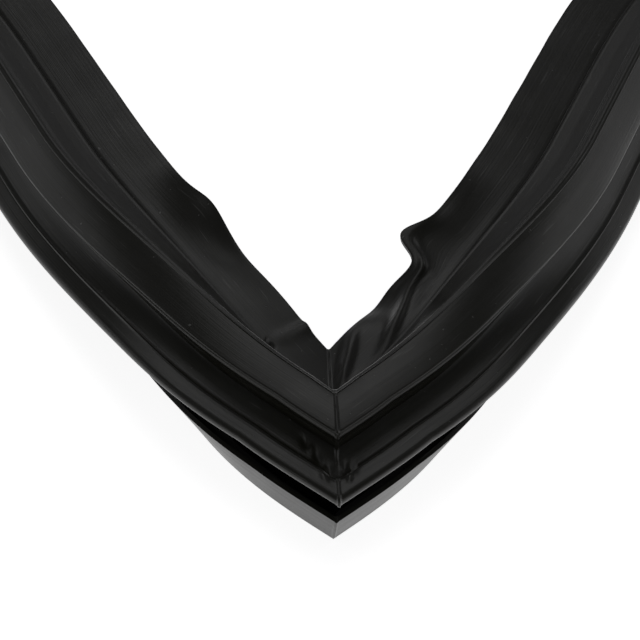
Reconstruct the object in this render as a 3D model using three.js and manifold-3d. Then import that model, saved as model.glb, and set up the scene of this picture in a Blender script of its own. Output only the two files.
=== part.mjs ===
// Refrigerator door gasket: one soft hollow section, cut to four equal lengths and mitre-welded into a
// square loop, with a flexible magnet strip in the pocket of each side. It lies free, magnet face up:
// each side swings inwards from its welds and leans outwards on the edge of its foot.
// Millimetres, +Z up, the loop's centre on the Z axis and its foot on z = 0.
import * as THREE from 'three';
import { mergeVertices } from 'three/addons/utils/BufferGeometryUtils.js';
import Module from 'manifold-3d';

const wasm = await Module();
wasm.setup();

// One side, measured along the outer edge of the foot
const sideLength = 580;
const sideSwing = THREE.MathUtils.degToRad(23.7);
const swingLength = 66;
const swingBack = 165;
const sideLean = THREE.MathUtils.degToRad(37);
const leanOnset = 0.75;
const leanStart = 21;
const leanEnd = 132;

// Section: u runs outwards and v upwards from the outer edge of the foot
const wall = 0.9;
const sealHeight = 24.8;
const footWidth = 12.4;
const baseThickness = 1.2;
const lipHeight = 9.3;
const lipReach = 4.2;
const lipThickness = 1.0;
const troughDepth = 7.2;
const backInset = 2.9;
const flangeTop = 19.5;
const flangeReach = 7.8;
const flangeThickness = 2.4;
const beadWidth = 4.7;
const beadCrease = 0.25;
const neckDepth = 0.6;
const pocketInset = 3.0;
const edgeChamfer = 0.9;
const crestRadius = 0.7;
const creaseReach = 0.9;
const creaseRise = 0.5;
const webWidth = 5.0;
const webDrop = 4.3;
const kneeReach = 0.7;
const kneeHeight = 7.5;
const flapLength = 12.6;
const flapDroop = THREE.MathUtils.degToRad(27);
const flapRoot = 1.1;
const flapEdge = 0.7;

// Gather of the flap beside each weld, where the lean leaves its free edge too long
const gatherStart = 48;
const gatherEnd = 118;
const gatherRise = 4.5;

// Magnet strips
const magnetWidth = 8.0;
const magnetThickness = 2.4;
const magnetClearance = 0.3;
const magnetSetback = 8;

// Vent slit at the foot of the pocket, in the side that runs along Y from the corner at -X -Y
const ventLength = 3.0;
const ventHeight = 2.2;
const ventDepth = 2.6;
const ventDistance = 24;

// How finely half a side is drawn: rings close together where it leans over, wider apart from there to its middle
const leaningRings = 8;
const ringGrowth = 1.3;
const restRings = 5;
const mitreFade = 90;
const seamStep = 0.5;

const { smoothstep, lerp, clamp } = THREE.MathUtils;

// Distances of the rings from the weld
const stations = [0, magnetSetback];
for (let ring = 1; ring <= leaningRings; ring += 1) {
  stations.push(lerp(magnetSetback, leanEnd, (ring / leaningRings) ** ringGrowth));
}
for (let ring = 1; ring <= restRings; ring += 1) stations.push(lerp(leanEnd, sideLength / 2, ring / restRings));

// Direction of the seam line inwards of its straight course, at s from the weld
const swingAt = (s) => sideSwing * smoothstep(s, 0, swingLength) * (1 - smoothstep(s, swingBack, sideLength / 2));

// Outward lean of the section at s: it starts at a share of the rate of an even twist, and ends smoothly
function leanAt(s) {
  const share = clamp((s - leanStart) / (leanEnd - leanStart), 0, 1);
  return sideLean * (smoothstep(share, 0, 1) + leanOnset * share * (1 - share) ** 2);
}

// The seam line of half a side, summed in short steps: x along the side and y inwards from the corner
const seam = [new THREE.Vector2()];
for (let s = seamStep / 2; s < sideLength / 2; s += seamStep) {
  const turn = swingAt(s);
  const last = seam[seam.length - 1];
  seam.push(new THREE.Vector2(last.x + seamStep * Math.cos(turn), last.y + seamStep * Math.sin(turn)));
}
const halfSpan = seam[seam.length - 1].x;

function seamAt(s) {
  if (s <= 0) return new THREE.Vector2(s, 0);
  const place = Math.min(s / seamStep, seam.length - 1 - 1e-9);
  const index = Math.floor(place);
  return seam[index].clone().lerp(seam[index + 1], place - index);
}

// A section point carried to s: x along the side, y inwards, z up
function carry(u, v, s) {
  const lean = leanAt(s);
  const turn = swingAt(s);
  const out = u * Math.cos(lean) + v * Math.sin(lean);
  const base = seamAt(s);
  return new THREE.Vector3(
    base.x + out * Math.sin(turn),
    base.y - out * Math.cos(turn),
    v * Math.cos(lean) - u * Math.sin(lean),
  );
}

// How far along the side the mitre plane x = y cuts the line that a section point draws
function mitreOffset(u, v) {
  let low = -sealHeight - flangeReach;
  let high = 3 * sealHeight;
  for (let pass = 0; pass < 50; pass += 1) {
    const middle = (low + high) / 2;
    const point = carry(u, v, middle);
    if (point.x < point.y) low = middle;
    else high = middle;
  }
  return (low + high) / 2;
}

// How far a section point is lifted at s: one wave of the flap, highest at its tip and none at its root
function gatherAt(u, s) {
  const wave = Math.sin(Math.PI * clamp((s - gatherStart) / (gatherEnd - gatherStart), 0, 1));
  const reach = clamp((root.x - u) / (root.x - flapTip.x), 0, 1);
  return gatherRise * wave * wave * reach * reach;
}

// A section point in the loop: rings lie in the mitre plane at the weld and turn square to the side from it
function placeOnHalf(u, v, distance) {
  const share = 1 - smoothstep(distance, 0, mitreFade);
  const s = distance + share * mitreOffset(u, v);
  const point = carry(u, v + gatherAt(u, s), s);
  if (distance === 0) point.x = point.y = (point.x + point.y) / 2;
  return point.sub(new THREE.Vector3(halfSpan, halfSpan, 0));
}

// Extrudes a section along the whole of one side, from a station past the middle back to the same one before it
function sweepSide(shape, firstStation) {
  const half = stations.slice(firstStation);
  const steps = 2 * (half.length - 1);
  const geometry = new THREE.ExtrudeGeometry(shape, { depth: steps, steps, bevelEnabled: false, curveSegments: 4 });
  const position = geometry.attributes.position;
  for (let i = 0; i < position.count; i += 1) {
    const step = Math.round(position.getZ(i));
    const mirrored = step < steps / 2;
    const distance = half[mirrored ? step : steps - step];
    const point = placeOnHalf(position.getX(i), position.getY(i), distance);
    const x = distance === sideLength / 2 ? 0 : point.x;
    position.setXYZ(i, mirrored ? -x : x, point.y, point.z);
  }
  return geometry;
}

// Splits the side faces of an extrusion along their other diagonal, as the walls of a hole round it are split,
// so that the two stay parallel where the side twists
function otherDiagonals(geometry) {
  const position = geometry.attributes.position;
  const corner = (i) => new THREE.Vector3().fromBufferAttribute(position, i);
  const { start, count } = geometry.groups[1];
  for (let first = start; first < start + count; first += 6) {
    const [a, b, c, d] = [first, first + 1, first + 4, first + 5].map(corner);
    [a, b, c, a, c, d].forEach((point, i) => position.setXYZ(first + i, point.x, point.y, point.z));
  }
  return geometry;
}

// Quarter turns about the Z axis, exact in whole numbers so that the mitred faces meet
function quarterTurns(geometry, turns) {
  const turned = geometry.clone();
  const position = turned.attributes.position;
  for (let i = 0; i < position.count; i += 1) {
    let [x, y] = [position.getX(i), position.getY(i)];
    for (let turn = 0; turn < turns; turn += 1) [x, y] = [-y, x];
    position.setXYZ(i, x, y, position.getZ(i));
  }
  return turned;
}

function toManifold(geometry) {
  const bare = geometry.clone();
  bare.deleteAttribute('normal');
  bare.deleteAttribute('uv');
  const merged = mergeVertices(bare, 1e-4);
  return new wasm.Manifold(new wasm.Mesh({
    numProp: 3,
    vertProperties: new Float32Array(merged.attributes.position.array),
    triVerts: new Uint32Array(merged.index.array),
  }));
}

function toGeometry(manifold) {
  const mesh = manifold.getMesh();
  const geometry = new THREE.BufferGeometry();
  geometry.setAttribute('position', new THREE.BufferAttribute(mesh.vertProperties, 3));
  geometry.setIndex(new THREE.BufferAttribute(mesh.triVerts, 1));
  geometry.computeVertexNormals();
  return geometry;
}

// Points of the section that several outlines share
const pocketInnerWidth = magnetWidth + 2 * magnetClearance;
const pocketInnerDepth = magnetThickness + 2 * magnetClearance;
const pocketOuterFace = -pocketInset;
const pocketInnerFace = pocketOuterFace - pocketInnerWidth - 2 * wall;
const pocketUnderside = sealHeight - pocketInnerDepth - 2 * wall;
const backFace = -backInset;
const crease = new THREE.Vector2(pocketInnerFace - creaseReach, pocketUnderside + creaseRise);
const root = new THREE.Vector2(pocketInnerFace - webWidth, pocketUnderside - webDrop);
const knee = new THREE.Vector2(-footWidth - kneeReach, kneeHeight);
const heel = new THREE.Vector2(-footWidth, 0);
const flapTip = new THREE.Vector2(-Math.cos(flapDroop), -Math.sin(flapDroop)).multiplyScalar(flapLength).add(root);

// The point at a distance from one point towards another
const towards = (from, to, distance) => to.clone().sub(from).setLength(distance).add(from);

// The corner b of the line a-b-c, moved square to both its legs, to their right
function insetCorner(a, b, c, distance) {
  const right = (from, to) => new THREE.Vector2(to.y - from.y, from.x - to.x).normalize();
  const sum = right(a, b).add(right(b, c));
  return sum.multiplyScalar(2 * distance / sum.lengthSq()).add(b);
}

// The point of the line a-b at a height
const atHeight = (a, b, height) => a.clone().lerp(b, (height - a.y) / (b.y - a.y));

// The outline, from the foot's outer edge round the lip, groove, flange, pocket, web, flap and bellows
function outline() {
  const shape = new THREE.Shape();
  const lipTop = new THREE.Vector2(lipReach, lipHeight);
  const lean = lipTop.clone().normalize();
  const lipInner = new THREE.Vector2(-lean.y, lean.x).multiplyScalar(lipThickness).add(lipTop);
  const troughOuter = lipInner.clone().addScaledVector(lean, -troughDepth);
  const noseRadius = flangeThickness / 2;
  const flangeUnderside = flangeTop - flangeThickness;
  const noseCentre = new THREE.Vector2(flangeReach - noseRadius, flangeTop - noseRadius);
  const beadLine = new THREE.Vector2(flangeReach - beadWidth, flangeTop - beadCrease);
  shape.moveTo(0, 0);
  shape.lineTo(lipTop.x, lipTop.y);
  shape.lineTo(lipInner.x, lipInner.y);
  shape.lineTo(troughOuter.x, troughOuter.y);
  shape.quadraticCurveTo(troughOuter.x - lipThickness, baseThickness, backFace, troughOuter.y);
  shape.lineTo(backFace, flangeUnderside - wall);
  shape.lineTo(backFace + wall, flangeUnderside);
  shape.absarc(noseCentre.x, noseCentre.y, noseRadius, -Math.PI / 2, Math.PI / 2, false);
  shape.lineTo(beadLine.x, beadLine.y);
  shape.quadraticCurveTo(backFace, flangeTop - 2 * beadCrease, pocketOuterFace - neckDepth, pocketUnderside);
  shape.lineTo(pocketOuterFace, pocketUnderside + neckDepth);
  shape.lineTo(pocketOuterFace, sealHeight - edgeChamfer);
  shape.lineTo(pocketOuterFace - edgeChamfer, sealHeight);
  shape.lineTo(pocketInnerFace + crestRadius, sealHeight);
  shape.lineTo(pocketInnerFace, sealHeight - crestRadius);
  shape.lineTo(pocketInnerFace, crease.y + creaseReach);
  shape.lineTo(crease.x, crease.y);
  const flapTop = towards(root, crease, flapRoot / 2);
  const flapSide = new THREE.Vector2(Math.sin(flapDroop), -Math.cos(flapDroop)).multiplyScalar(flapEdge / 2);
  const flapUnder = towards(root, knee, flapRoot / 2);
  shape.lineTo(flapTop.x, flapTop.y);
  shape.lineTo(flapTip.x - flapSide.x, flapTip.y - flapSide.y);
  shape.lineTo(flapTip.x + flapSide.x, flapTip.y + flapSide.y);
  shape.lineTo(flapUnder.x, flapUnder.y);
  shape.lineTo(knee.x, knee.y);
  shape.lineTo(heel.x, heel.y);
  return shape;
}

// The magnet pocket, a closed tunnel
function pocketHole() {
  const left = pocketInnerFace + wall;
  const bottom = pocketUnderside + wall;
  return new THREE.Path([
    new THREE.Vector2(left, bottom),
    new THREE.Vector2(left, bottom + pocketInnerDepth),
    new THREE.Vector2(left + pocketInnerWidth, bottom + pocketInnerDepth),
    new THREE.Vector2(left + pocketInnerWidth, bottom),
  ]);
}

// The bellows chamber below it, one wall inside the web, bellows, base and back
function chamberHole() {
  const webCorner = insetCorner(knee, root, crease, wall);
  const kneeCorner = insetCorner(heel, knee, root, wall);
  const webTop = insetCorner(root, crease, crease.clone().multiplyScalar(2).sub(root), wall);
  const heelCorner = new THREE.Vector2(heel.x + wall, heel.y);
  const right = backFace - wall;
  const neckRight = pocketOuterFace - neckDepth - wall;
  return new THREE.Path([
    atHeight(webCorner, webTop, pocketUnderside),
    new THREE.Vector2(neckRight, pocketUnderside),
    new THREE.Vector2(right, pocketUnderside - wall),
    new THREE.Vector2(right, baseThickness),
    atHeight(heelCorner, kneeCorner, baseThickness),
    kneeCorner,
    webCorner,
  ]);
}

function ventCutter() {
  const slit = new THREE.CylinderGeometry(ventLength / 2, ventLength / 2, ventDepth, 10);
  slit.rotateZ(Math.PI / 2);
  slit.scale(1, 1, ventHeight / ventLength);
  const centre = placeOnHalf((crease.x + pocketInnerFace + wall) / 2, crease.y, ventDistance);
  slit.translate(centre.y, centre.x, centre.z);
  return slit;
}

const softVinyl = new THREE.MeshStandardMaterial({ color: 0x1b1b1a, roughness: 0.42, metalness: 0 });
const magnetCompound = new THREE.MeshStandardMaterial({ color: 0x3a3430, roughness: 0.8, metalness: 0.1 });

function gasketBody() {
  const section = outline();
  section.holes.push(pocketHole(), chamberHole());
  const side = sweepSide(section, 0);
  let loop = toManifold(side);
  for (let turns = 1; turns < 4; turns += 1) loop = loop.add(toManifold(quarterTurns(side, turns)));
  const body = new THREE.Mesh(toGeometry(loop.subtract(toManifold(ventCutter()))), softVinyl);
  body.name = 'gasket_body';
  return body;
}

function magnetStrip(name, turns) {
  const centre = (pocketOuterFace + pocketInnerFace) / 2;
  const bottom = pocketUnderside + wall + magnetClearance;
  const shape = new THREE.Shape();
  shape.moveTo(centre - magnetWidth / 2, bottom);
  shape.lineTo(centre + magnetWidth / 2, bottom);
  shape.lineTo(centre + magnetWidth / 2, bottom + magnetThickness);
  shape.lineTo(centre - magnetWidth / 2, bottom + magnetThickness);
  const strip = new THREE.Mesh(quarterTurns(otherDiagonals(sweepSide(shape, 1)), turns), magnetCompound);
  strip.name = name;
  return strip;
}

const gasket = new THREE.Group();
gasket.name = 'refrigerator_door_gasket';
gasket.add(gasketBody());
['front', 'right', 'back', 'left'].forEach((side, turns) => gasket.add(magnetStrip(`magnet_strip_${side}`, turns)));

export default gasket;
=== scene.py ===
import math

import bpy
import numpy as np
from mathutils import Matrix, Vector


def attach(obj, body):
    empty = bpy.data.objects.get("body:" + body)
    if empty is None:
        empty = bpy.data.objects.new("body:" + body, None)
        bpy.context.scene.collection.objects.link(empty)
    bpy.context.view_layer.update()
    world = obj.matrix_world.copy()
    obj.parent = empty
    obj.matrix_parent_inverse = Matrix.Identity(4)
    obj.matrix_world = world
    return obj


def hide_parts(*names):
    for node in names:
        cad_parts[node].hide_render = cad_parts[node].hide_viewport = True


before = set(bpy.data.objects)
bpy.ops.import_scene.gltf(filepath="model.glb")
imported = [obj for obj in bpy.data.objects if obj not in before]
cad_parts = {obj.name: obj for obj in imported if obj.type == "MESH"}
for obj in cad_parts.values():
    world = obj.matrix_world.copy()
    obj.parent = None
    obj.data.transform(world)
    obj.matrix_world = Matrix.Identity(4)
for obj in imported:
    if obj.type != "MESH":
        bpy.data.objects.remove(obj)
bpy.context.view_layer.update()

# The vinyl loop. One soft extrusion of black vinyl, cut to four equal lengths and mitre-welded into a
# square, with its magnets in one pocket, a groove that grips the door's inner panel, and a thin flap.
mm = 0.001

# Its section, drawn anticlockwise in millimetres, u outwards and v up from the foot's outer edge: a
# flat-topped magnet pocket, a neck, a flange with a round nose, a groove, a foot with an upturned lip,
# bellows and a flap. Fine ribs from the die stand on the pocket, along the flange and at the flap's root.
seal_height = 24.8
foot_width = 12.4
lip_top = Vector((4.2, 9.3))
lip_thickness = 1.0
trough_depth = 7.2
back_face = -2.9
corner_cut = 0.9
trough_floor = 1.2
flange_top = 19.5
flange_reach = 7.8
flange_dip = 0.5
flange_thickness = 2.4
bead_line = Vector((3.1, 19.25))
pocket_outer = -3.0
pocket_inner = -13.4
pocket_underside = 20.0
neck_depth = 0.6
edge_radius = 0.45
rib_drop = 1.5
rib_height = 0.17
rib_stand = 0.1
wall_ribs = 3
wall_rib_gap = 0.85
first_wall_rib = 0.6
bead_height = 0.28
root_bead = 0.32
crest_radius = 0.95
top_crown = 0.34
crease = Vector((-14.3, 20.5))
root = Vector((-18.4, 15.7))
knee = Vector((-13.1, 7.5))
flap_length = 12.6
flap_droop = math.radians(27)
flap_root = 1.1
flap_edge = 0.7
flap_along = Vector((-math.cos(flap_droop), -math.sin(flap_droop)))
flap_side = Vector((math.sin(flap_droop), -math.cos(flap_droop)))


def arc(centre, radius, start, end, count):
    """Points round a centre, from one angle in degrees to another."""
    angles = [math.radians(start + (end - start) * i / count) for i in range(count + 1)]
    return [Vector((centre[0] + radius * math.cos(a), centre[1] + radius * math.sin(a))) for a in angles]


def sweep(start, pull, end, count):
    """Points on a curve from start to end, drawn towards pull."""
    shares = [i / count for i in range(count + 1)]
    return [start * (1 - t) ** 2 + pull * 2 * t * (1 - t) + end * t * t for t in shares]


def rib(middle, along, height):
    """Three points of a small rib on the outline, which runs along the given direction there."""
    along = along.normalized()
    return [middle - along * height, middle + Vector((along.y, -along.x)) * height, middle + along * height]


def straight(start, end, count):
    """Points between two corners, both left out."""
    return [start.lerp(end, i / count) for i in range(1, count)]


lip_lean = lip_top.normalized()
lip_inner = lip_top + Vector((-lip_lean.y, lip_lean.x)) * lip_thickness
trough = lip_inner - lip_lean * trough_depth
nose_radius = flange_thickness / 2
nose = Vector((flange_reach - nose_radius, flange_top - nose_radius))
flange_under = flange_top - flange_thickness
back_foot = Vector((back_face, trough.y))
back_head = Vector((back_face, flange_under - corner_cut))
under_root = Vector((back_face + corner_cut, flange_under))
neck = Vector((pocket_outer - neck_depth, pocket_underside))
shoulder = Vector((pocket_outer, pocket_underside + neck_depth))
flap_top = root + (crease - root).normalized() * flap_root / 2
flap_under = root + (knee - root).normalized() * flap_root / 2
flap_tip = root + flap_along * flap_length
tip_top = flap_tip - flap_side * flap_edge / 2
tip_under = flap_tip + flap_side * flap_edge / 2
top_edge = Vector((pocket_outer - edge_radius, seal_height))
side_edge = Vector((pocket_outer, seal_height - edge_radius))
edge_rib = Vector((pocket_outer, seal_height - rib_drop))
crest_rib = Vector((pocket_inner + rib_drop, seal_height + rib_stand))
wall_foot = Vector((pocket_inner, crease.y + corner_cut))
climbing = Vector((0, 1))
falling = Vector((0, -1))
inwards = Vector((-1, 0))
crest = Vector((pocket_inner + crest_radius, seal_height - crest_radius))
crown = Vector(((top_edge.x + crest.x) / 2, seal_height + 2 * top_crown))
heel = Vector((-foot_width, 0))
foot_edge = Vector((0, 0))

outline = [foot_edge, *straight(foot_edge, lip_top, 6), lip_top]
outline += [lip_inner, *straight(lip_inner, trough, 5)]
outline += sweep(trough, Vector((trough.x - lip_thickness, trough_floor)), back_foot, 5)
outline += [*straight(back_foot, back_head, 5), back_head, under_root]
outline += [*straight(under_root, Vector((nose.x, flange_under)), 5)]
outline += arc(nose, nose_radius, -90, 90, 10)
outline += [*straight(Vector((nose.x, flange_top)), bead_line, 6)]
outline += rib(bead_line, inwards, bead_height)
outline += sweep(bead_line, Vector((back_face, flange_top - flange_dip)), neck, 9)[1:]
outline += [shoulder, *straight(shoulder, edge_rib, 3), *rib(edge_rib, climbing, rib_height)]
outline += arc((top_edge.x, side_edge.y), edge_radius, 0, 90, 4)
outline += sweep(top_edge, crown, crest_rib, 10)[1:-1] + rib(crest_rib, inwards, rib_height)
outline += arc(crest, crest_radius, 90, 180, 4)
for rib_number in range(wall_ribs):
    wall_rib = Vector((pocket_inner, crest.y - wall_rib_gap * (rib_number + first_wall_rib)))
    outline += rib(wall_rib, falling, rib_height)
outline += [wall_foot, crease]
outline += [*straight(crease, flap_top, 5), *rib(flap_top, root - crease, root_bead)]
outline += [*straight(flap_top, tip_top, 20), tip_top]
outline += [tip_under, *straight(tip_under, flap_under, 14), flap_under]
outline += [*straight(flap_under, knee, 5), knee, *straight(knee, heel, 4)]
outline += [heel, *straight(heel, foot_edge, 5)]
section = np.array([(p.x, p.y) for p in outline]) * mm
section_count = len(outline)
travel = np.roll(section, -1, 0) - np.roll(section, 1, 0)
travel /= np.linalg.norm(travel, axis=1)[:, None]
outwards = np.stack([travel[:, 1], -travel[:, 0]], 1)
edge_length = np.linalg.norm(np.roll(section, -1, 0) - section, axis=1)
girth = np.concatenate([[0], np.cumsum(edge_length)])

# Its course. Each side lies free: it swings inwards from its welds and leans outwards on the edge of its
# foot. A distance, in metres, is measured from a weld, and the loop's corner is where the foot's outer edge
# meets the mitre. The flap's free edge is too long for the lean, so it gathers in one wave on each half.
half_side = 290 * mm
swing = math.radians(23.7)
swing_length = 66 * mm
swing_back = 165 * mm
lean = math.radians(37)
lean_onset = 0.75
lean_start = 21 * mm
lean_end = 132 * mm
mitre_fade = 90 * mm
seam_steps = 1160
gather_start = 48 * mm
gather_end = 118 * mm
gather_rise = 4.5 * mm
weld_lift = 3.0 * mm
weld_lift_end = 76 * mm
search_from = -50 * mm
search_to = 100 * mm
search_halvings = 40


def ease(value, start, end):
    share = np.clip((value - start) / (end - start), 0, 1)
    return share * share * (3 - 2 * share)


def swing_at(distance):
    return swing * ease(distance, 0, swing_length) * (1 - ease(distance, swing_back, half_side))


def lean_at(distance):
    share = np.clip((distance - lean_start) / (lean_end - lean_start), 0, 1)
    return lean * (ease(share, 0, 1) + lean_onset * share * (1 - share) ** 2)


seam_marks = np.linspace(0, half_side, seam_steps + 1)
seam_turn = swing_at((seam_marks[1:] + seam_marks[:-1]) / 2)
seam_step = seam_marks[1]
seam_x = np.concatenate([[0], np.cumsum(np.cos(seam_turn) * seam_step)])
seam_y = np.concatenate([[0], np.cumsum(np.sin(seam_turn) * seam_step)])
half_span = seam_x[-1]


def carry(u, v, distance):
    """A section point carried to a distance from the weld: x along the side, y inwards and z up."""
    leaning = lean_at(distance)
    turning = swing_at(distance)
    out = u * np.cos(leaning) + v * np.sin(leaning)
    along = np.where(distance < 0, distance, np.interp(distance, seam_marks, seam_x))
    inward = np.interp(distance, seam_marks, seam_y)
    height = v * np.cos(leaning) - u * np.sin(leaning)
    return along + out * np.sin(turning), inward - out * np.cos(turning), height


def flap_share(u):
    """How far out a section point lies on the flap: 0 at its root and all else, 1 at its tip."""
    return np.clip((root.x * mm - u) / ((root.x - flap_tip.x) * mm), 0, 1)


def flap_lift(u, distance):
    """The wave that the flap gathers in, and the little that the weld holds it up."""
    wave = np.sin(math.pi * np.clip((distance - gather_start) / (gather_end - gather_start), 0, 1))
    held = 1 - ease(distance, gather_start, weld_lift_end)
    return flap_share(u) ** 2 * gather_rise * wave * wave + flap_share(u) * weld_lift * held


def mitre_offset(u, v):
    """How far along the side the mitre plane cuts the line that a section point draws."""
    low = np.full_like(u, search_from)
    high = np.full_like(u, search_to)
    for _ in range(search_halvings):
        middle = (low + high) / 2
        x, y, _z = carry(u, v + flap_lift(u, middle), middle)
        low = np.where(x < y, middle, low)
        high = np.where(x < y, high, middle)
    return (low + high) / 2


def reach(u, v, distance):
    """Where a section point lies along its own line on a ring: the rings fan out of the mitre."""
    return distance + (1 - ease(distance, 0, mitre_fade)) * mitre_offset(u, v)


# Rings, once round the loop: (quarter turns, whether the half runs back to a weld, distance from its weld).
# They stand closest at a weld, and the two halves whose flap is folded have more of them than the other six.
weld_step = 0.25 * mm
near_step = 0.95 * mm
far_step = 3.6 * mm
fine = 1.0
plain = 2.9
weld_zone = 12 * mm
calm_from = 130 * mm
calm_to = 170 * mm


def half_rings(coarseness):
    marks = [0.0]
    while marks[-1] < half_side:
        here = marks[-1]
        step = weld_step + (near_step * coarseness - weld_step) * ease(here, 0, weld_zone)
        marks.append(here + step + (far_step - near_step) * ease(here, calm_from, calm_to))
    return [mark * half_side / marks[-1] for mark in marks]


rings = []
for side in range(4):
    leaving = half_rings(fine if side == 0 else plain)
    returning = half_rings(fine if side == 3 else plain)[1:-1]
    rings += [(side, False, distance) for distance in leaving]
    rings += [(side, True, distance) for distance in reversed(returning)]
ring_side = np.array([ring[0] for ring in rings])
ring_back = np.array([ring[1] for ring in rings])
ring_distance = np.array([ring[2] for ring in rings])
ring_length = np.where(ring_back, 2 * half_side - ring_distance, ring_distance) + ring_side * 2 * half_side
ring_length = np.append(ring_length, 8 * half_side)

# A ring of points set to the section is drawn out straight, one step for each ring of the loop
bpy.ops.object.select_all(action="DESELECT")
bpy.ops.mesh.primitive_circle_add(vertices=section_count, radius=half_side, location=(0, 0, 0))
skin = bpy.context.object
skin.name = "vinyl_loop"
for vertex, point in zip(skin.data.vertices, section):
    vertex.co = (0, point[0], point[1])
draw_out = skin.modifiers.new("draw_out", "SCREW")
draw_out.axis = "X"
draw_out.angle = 0
draw_out.screw_offset = 1.0
draw_out.steps = draw_out.render_steps = len(rings)
draw_out.use_smooth_shade = False
bpy.ops.object.modifier_apply(modifier=draw_out.name)

# Each corner of each face is marked with its length round the loop and its place round the section
count = len(skin.data.vertices)
flat = np.empty(count * 3)
skin.data.vertices.foreach_get("co", flat)
flat = flat.reshape(-1, 3)
ring_number = np.rint(flat[:, 0] * len(rings)).astype(int)
outline_number = np.arange(count) % section_count
corner_vertex = np.empty(len(skin.data.loops), dtype=int)
skin.data.loops.foreach_get("vertex_index", corner_vertex)
corner_place = outline_number[corner_vertex].reshape(-1, 4)
wraps = (corner_place.max(1) - corner_place.min(1) > section_count / 2)[:, None] & (corner_place == 0)
corner_girth = girth[np.where(wraps, section_count, corner_place)].ravel()
corner_length = ring_length[ring_number[corner_vertex]]
grain_map = skin.data.uv_layers.new(name="grain")
grain_map.data.foreach_set("uv", np.stack([corner_length, corner_girth], 1).ravel())

# Forms of the corner at -X -Y, in millimetres. Folds of the flap: (on which half, distance, slant,
# half width, lift, pull, whether it dies out at the flap's edge too)
fold_fade = 6 * mm
folds = [
    ("right", 64, 0, 11, -4.6, -1.6, False),
    ("right", 73.5, 0, 4.2, 1.0, -3.6, False),
    ("right", 83, -4, 5.6, 1.2, 4.6, False),
    ("right", 42, 42, 5.0, 1.4, 0, True),
    ("right", 22, 28, 4.2, 1.2, 0, True),
    ("left", 46, 2.5, 1.9, 1.1, 0, False),
    ("left", 74, 0, 8, -1.2, -0.9, False),
    ("left", 91, 0, 8, 1.0, 1.5, False),
]
# Puckers of the flange beside the weld: (on which half, distance, place outwards, width, rise)
puckers = [
    ("left", 9.0, -1.2, 1.1, -0.6),
    ("left", 7.4, -0.4, 0.8, 0.45),
    ("left", 5.5, 0.6, 1.5, -0.55),
    ("left", 4.2, 4.4, 1.1, 0.45),
    ("left", 2.2, 2.0, 1.3, -0.7),
    ("right", 3.4, 4.2, 0.8, 0.6),
    ("right", 2.0, 1.4, 1.2, -0.8),
    ("right", 5.0, 2.8, 1.2, -0.35),
]
slit_distance = 29 * mm
slit_length = 2.4 * mm
slit_width = 0.75 * mm
slit_depth = 0.95 * mm
slit_from_root = 1.1
flash_width = 0.45 * mm
flash_height = 0.32 * mm
tab_width = 1.2 * mm
tab_height = 2.2 * mm
long_lumps = 3.1 * mm
short_lumps = 1.3 * mm
ripple_height = 0.22 * mm
long_ripple = 7.3 * mm
short_ripple = 3.9 * mm
magnet_middle = Vector((-8.2, 22.6)) * mm
pocket_turn = math.radians(8)
turn_start = 24 * mm
turn_end = 100 * mm
turn_foot = 19.7 * mm
turn_full = 21.2 * mm
turn_reach = -2.5 * mm
tab_back = -13.6 * mm
flash_foot = 1 * mm
pucker_foot = 17.6 * mm
pucker_top = 20 * mm
pucker_back = -3.2 * mm

ring_index = ring_number % len(rings)
u, v = flat[:, 1], flat[:, 2]
side, back, distance = ring_side[ring_index], ring_back[ring_index], ring_distance[ring_index]
normal_u, normal_v = outwards[outline_number].T
halves = {"right": (side == 0) & ~back, "left": (side == 3) & back}

# Each weld squeezes out a thin flash round the section, its underside left out, and a tab behind the pocket
round_section = girth[outline_number]
uneven = 0.75 + 0.25 * np.sin(round_section / short_lumps) * np.cos(round_section / long_lumps)
behind = (u < tab_back) & (v > root.y * mm) & (v < wall_foot.y * mm)
flash = flash_height * uneven * np.exp(-((distance / flash_width) ** 2))
flash += np.where(behind, tab_height * uneven * np.exp(-((distance / tab_width) ** 4)), 0)
flash = np.where(v > flash_foot, flash, 0)
on_flange = (v > pucker_foot) & (v < pucker_top) & (u > pucker_back)
for half, along, place, width, rise in puckers:
    spread = ((distance - along * mm) ** 2 + (u - place * mm) ** 2) / (width * mm) ** 2
    flash += np.where(halves[half] & on_flange, rise * mm * np.exp(-spread), 0)
slit_middle = (flap_top + flap_along * slit_from_root) * mm
spread = ((distance - slit_distance) / slit_length) ** 2
spread += ((u - slit_middle.x) ** 2 + (v - slit_middle.y) ** 2) / slit_width**2
flash -= np.where(halves["left"], slit_depth * np.exp(-(spread**2)), 0)

# Places along the loop come from the plain section, so all the forms follow it
seam_place = reach(u, v, distance)
lift = flap_lift(u, seam_place)
share = flap_share(u)
pull = np.zeros(count)
for half, along, slant, width, rise, drawn, inner in folds:
    across = (seam_place - (along + slant * share) * mm) / (width * mm)
    strength = 4 * share * (1 - share) if inner else share**1.5
    strength = strength * np.exp(-across * across) * ease(distance, 0, fold_fade)
    strength = np.where(halves[half], strength, 0) * mm
    lift += rise * strength
    pull += drawn * strength
ripple = np.sin(seam_place / long_ripple) * np.sin(seam_place / short_ripple + 2 * side) * ripple_height
lift += share**2 * ripple * ease(distance, 0, 4 * fold_fade)
pocket_share = ease(v, turn_foot, turn_full) * (u < turn_reach)
turn_back = pocket_turn * pocket_share * ease(seam_place, turn_start, turn_end)
arm_u = u + normal_u * flash - magnet_middle.x
arm_v = v + normal_v * flash - magnet_middle.y
turned_u = magnet_middle.x + arm_u * np.cos(turn_back) + arm_v * np.sin(turn_back)
turned_v = magnet_middle.y + arm_v * np.cos(turn_back) - arm_u * np.sin(turn_back)
turned_u -= pull * math.cos(flap_droop)
turned_v += lift - pull * math.sin(flap_droop)
x, y, z = carry(turned_u, turned_v, seam_place)
x, y = x - half_span, y - half_span
x = np.where(back, -x, x)
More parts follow.
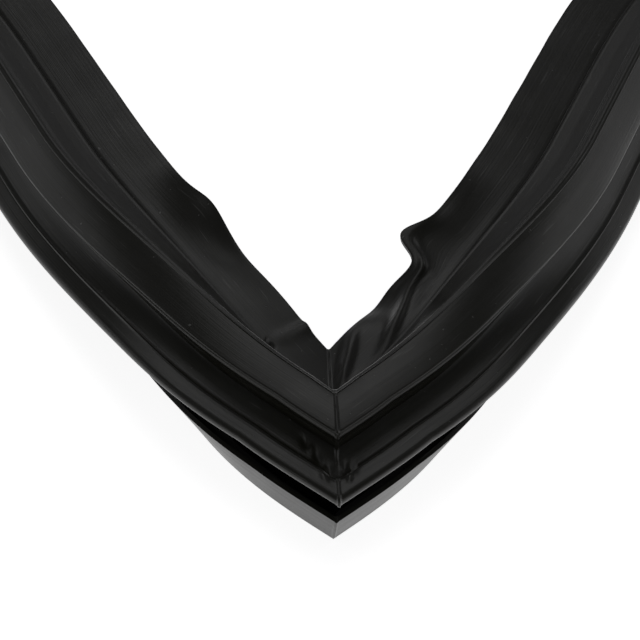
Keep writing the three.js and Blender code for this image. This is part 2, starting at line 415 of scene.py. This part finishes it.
for turn in range(1, 4):
    turning = side >= turn
    x, y = np.where(turning, -y, x), np.where(turning, x, y)
skin.data.vertices.foreach_set("co", np.stack([x, y, z], 1).ravel())
skin.data.update()

sharp_from = math.radians(46)
bpy.ops.object.mode_set(mode="EDIT")
bpy.ops.mesh.select_all(action="SELECT")
bpy.ops.mesh.remove_doubles(threshold=0.001 * mm)
bpy.ops.mesh.normals_make_consistent(inside=False)
bpy.ops.object.mode_set(mode="OBJECT")
bpy.ops.object.shade_smooth_by_angle(angle=sharp_from)


class Socket:
    """A shader value: its operators add Math nodes to the tree that it comes from."""

    def __init__(self, make, link):
        self.make = make
        self.link = link

    def math(self, operation, *others):
        return self.make("ShaderNodeMath", {"operation": operation}, self, *others)

    def __add__(self, other):
        return self.math("ADD", other)

    def __radd__(self, other):
        return self.math("ADD", other)

    def __mul__(self, other):
        return self.math("MULTIPLY", other)

    def __rmul__(self, other):
        return self.math("MULTIPLY", other)

    def clamped(self):
        return self.make("ShaderNodeClamp", {}, self)


class Recipe:
    """A material being written: one method adds any node, and its answer is the output asked for."""

    def __init__(self, name):
        self.material = bpy.data.materials.new(name)
        self.material.use_nodes = True
        self.tree = self.material.node_tree
        self.shader = self.tree.nodes["Principled BSDF"]

    def node(self, kind, settings, *values, output=0, **named):
        made = self.tree.nodes.new(kind)
        for name, value in settings.items():
            setattr(made, name, value)
        for key, value in [*enumerate(values), *named.items()]:
            socket = made.inputs[key] if isinstance(key, int) else self.input(made, key)
            if isinstance(value, Socket):
                self.tree.links.new(value.link, socket)
            else:
                socket.default_value = value
        return Socket(self.node, made.outputs[output])

    def input(self, made, key):
        """A node's input by its name, A_Color being the first of a Mix node's that takes a colour."""
        if key in ("A_Color", "B_Color"):
            return next(entry for entry in made.inputs if entry.name == key[0] and entry.type == "RGBA")
        return made.inputs[key.replace("_", " ")]

    def grey(self, value):
        return self.node("ShaderNodeCombineColor", {}, value, value, value)

    def finish(self, **inputs):
        for name, value in inputs.items():
            socket = self.shader.inputs[name.replace("_", " ")]
            if isinstance(value, Socket):
                self.tree.links.new(value.link, socket)
            else:
                socket.default_value = value


vinyl = Recipe("soft_vinyl")
grain_place = vinyl.node("ShaderNodeUVMap", {"uv_map": "grain"})
object_place = vinyl.node("ShaderNodeTexCoord", {}, output="Object")


def die_lines(lengthwise, crosswise, detail):
    """Noise drawn out along the extrusion: its scales are for each metre along and across."""
    stretched = vinyl.node("ShaderNodeMapping", {}, grain_place, Scale=(lengthwise, crosswise, 1))
    flat_noise = {"noise_dimensions": "2D"}
    return vinyl.node("ShaderNodeTexNoise", flat_noise, Vector=stretched, Scale=1.0, Detail=detail)


def ramp(value, *stops):
    """A colour ramp of (position, grey) stops."""
    made = vinyl.node("ShaderNodeValToRGB", {}, value)
    band = made.link.node.color_ramp
    for element, (place, grey) in zip(band.elements, stops):
        element.position = place
        element.color = (grey, grey, grey, 1)
    return made


fine_lines = die_lines(7, 2600, 3)
broad_lines = die_lines(3, 520, 2)
cloud = vinyl.node("ShaderNodeTexNoise", {}, Vector=object_place, Scale=55.0, Detail=3.0)
speckle = vinyl.node("ShaderNodeTexNoise", {}, Vector=object_place, Scale=900.0, Detail=1.0)
dust = ramp(speckle, (0.77, 0.0), (0.81, 1.0))
scuff = ramp(die_lines(60, 1500, 1), (0.74, 0.0), (0.82, 1.0))
bloom = ramp(cloud, (0.35, 0.0), (0.75, 1.0))
body_colour = vinyl.node(
    "ShaderNodeMix", {"data_type": "RGBA"}, output=2,
    Factor=bloom, A_Color=(0.0068, 0.0067, 0.0038, 1), B_Color=(0.0098, 0.0096, 0.0074, 1),
)
body_colour = vinyl.node(
    "ShaderNodeMix", {"data_type": "RGBA"}, output=2,
    Factor=(dust * 0.6 + scuff * 0.25).clamped(), A_Color=body_colour, B_Color=(0.12, 0.12, 0.115, 1),
)
height = fine_lines * 0.5 + broad_lines * 0.5 + cloud * 1.5 + dust * 0.8
ridged = vinyl.node("ShaderNodeBump", {}, Strength=1.0, Distance=0.00006, Height=height)
gloss = 0.27 + broad_lines * 0.12 + bloom * 0.06
vinyl.finish(Base_Color=body_colour, Roughness=gloss, Normal=ridged, Specular_IOR_Level=0.36)
skin.data.materials.append(vinyl.material)
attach(skin, "root")
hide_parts("gasket_body")

# The magnet strips. Ferrite powder in a rubber binder, extruded flat, and pushed into each pocket before
# the corners are welded. They are hidden in the closed loop.
compound = Recipe("magnet_compound")
strip_place = compound.node("ShaderNodeTexCoord", {}, output="Object")
powder = compound.node("ShaderNodeTexNoise", {}, Vector=strip_place, Scale=1400.0, Detail=2.0)
patches = compound.node("ShaderNodeTexNoise", {}, Vector=strip_place, Scale=90.0, Detail=3.0)
compound_colour = compound.node(
    "ShaderNodeMix", {"data_type": "RGBA"}, output=2,
    Factor=(powder * 0.6 + patches * 0.4).clamped(),
    A_Color=(0.035, 0.029, 0.025, 1), B_Color=(0.07, 0.06, 0.052, 1),
)
grit = compound.node("ShaderNodeBump", {}, Strength=1.0, Distance=0.00004, Height=powder)
compound.finish(Base_Color=compound_colour, Roughness=0.68 + patches * 0.2, Normal=grit)
for name in ("front", "right", "back", "left"):
    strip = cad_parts[f"magnet_strip_{name}"]
    strip.data.materials.clear()
    strip.data.materials.append(compound.material)

# The camera. It looks down on the corner at -X -Y, almost along the loop's diagonal, at the photograph's
# angle.
view_rise = math.radians(35.9)
view_swing = math.radians(-3.7)
view_roll = math.radians(2.8)
view_distance = 680 * mm
focal_share = 2957 / 640
aim_back = 77.8 * mm
backwards = Vector((1, 1, 0)).normalized()
rightwards = Vector((1, -1, 0)).normalized()
upwards = Vector((0, 0, 1))
aim = Vector((-half_span, -half_span, 0)) + backwards * aim_back
away = backwards * -math.cos(view_swing) * math.cos(view_rise)
away += rightwards * math.sin(view_swing) * math.cos(view_rise) + upwards * math.sin(view_rise)
across = rightwards * math.cos(view_swing) + backwards * math.sin(view_swing)
over = away.cross(across)
across, over = (
    across * math.cos(view_roll) + over * math.sin(view_roll),
    over * math.cos(view_roll) - across * math.sin(view_roll),
)
lens = bpy.data.cameras.new("camera")
lens.sensor_width = 36
lens.lens = focal_share * lens.sensor_width
lens.clip_start = 0.01
camera = bpy.data.objects.new("camera", lens)
facing = Matrix((across, over, away)).transposed().to_4x4()
camera.matrix_world = Matrix.Translation(aim + away * view_distance) @ facing
bpy.context.scene.collection.objects.link(camera)
bpy.context.scene.camera = camera

# The table and the light. A wide white table, a dim dome that is brighter low down, and five soft lamps:
# overhead, behind, in front and at each side. The table shows as white to the eye and in gloss, and keeps
# the loop's soft shadow.
bpy.ops.mesh.primitive_plane_add(size=12, location=(0, 0, 0))
table = bpy.context.object
table.name = "table"
white = Recipe("white_table")
seen = white.node("ShaderNodeLightPath", {}, output="Is Camera Ray")
for ray in ("Is Glossy Ray", "Is Transmission Ray"):
    seen = seen + white.node("ShaderNodeLightPath", {}, output=ray)
seen = seen.clamped()
white.finish(Base_Color=(0.8, 0.8, 0.8, 1), Roughness=0.9, Specular_IOR_Level=0.0)
white.finish(Emission_Color=white.grey(seen * 0.86), Emission_Strength=1.0)
table.data.materials.append(white.material)

world = bpy.data.worlds.new("studio")
world.use_nodes = True
sky = world.node_tree.nodes
toward = sky.new("ShaderNodeTexCoord")
split = sky.new("ShaderNodeSeparateXYZ")
dome = sky.new("ShaderNodeValToRGB")
world.node_tree.links.new(toward.outputs["Generated"], split.inputs[0])
world.node_tree.links.new(split.outputs["Z"], dome.inputs[0])
world.node_tree.links.new(dome.outputs["Color"], sky["Background"].inputs["Color"])
dome.color_ramp.elements[0].position = 0.0
dome.color_ramp.elements[0].color = (0.3, 0.3, 0.31, 1)
dome.color_ramp.elements[1].position = 0.3
dome.color_ramp.elements[1].color = (0.09, 0.09, 0.094, 1)
bpy.context.scene.world = world


def soft_box(name, place, target, size, power):
    lamp = bpy.data.lights.new(name, "AREA")
    lamp.shape = "RECTANGLE"
    lamp.size, lamp.size_y = size
    lamp.energy = power
    holder = bpy.data.objects.new(name, lamp)
    direction = Vector(target) - Vector(place)
    facing = direction.to_track_quat("-Z", "Y").to_matrix().to_4x4()
    holder.matrix_world = Matrix.Translation(place) @ facing
    bpy.context.scene.collection.objects.link(holder)


soft_box("top_light", (-0.1, -0.1, 1.4), (-0.2, -0.2, 0), (0.9, 0.9), 2.6)
soft_box("back_light", (0.75, 0.75, 1.15), (-0.2, -0.2, 0), (0.9, 0.7), 1.7)
soft_box("right_light", (1.0, -0.5, 0.42), (-0.2, -0.25, 0), (0.6, 0.4), 0.55)
soft_box("left_light", (-0.5, 1.0, 0.42), (-0.25, -0.2, 0), (0.6, 0.4), 0.55)
soft_box("front_light", (-1.2, -1.2, 0.4), (-0.25, -0.25, 0), (1.4, 0.5), 4)

bpy.context.scene.view_settings.view_transform = "Standard"
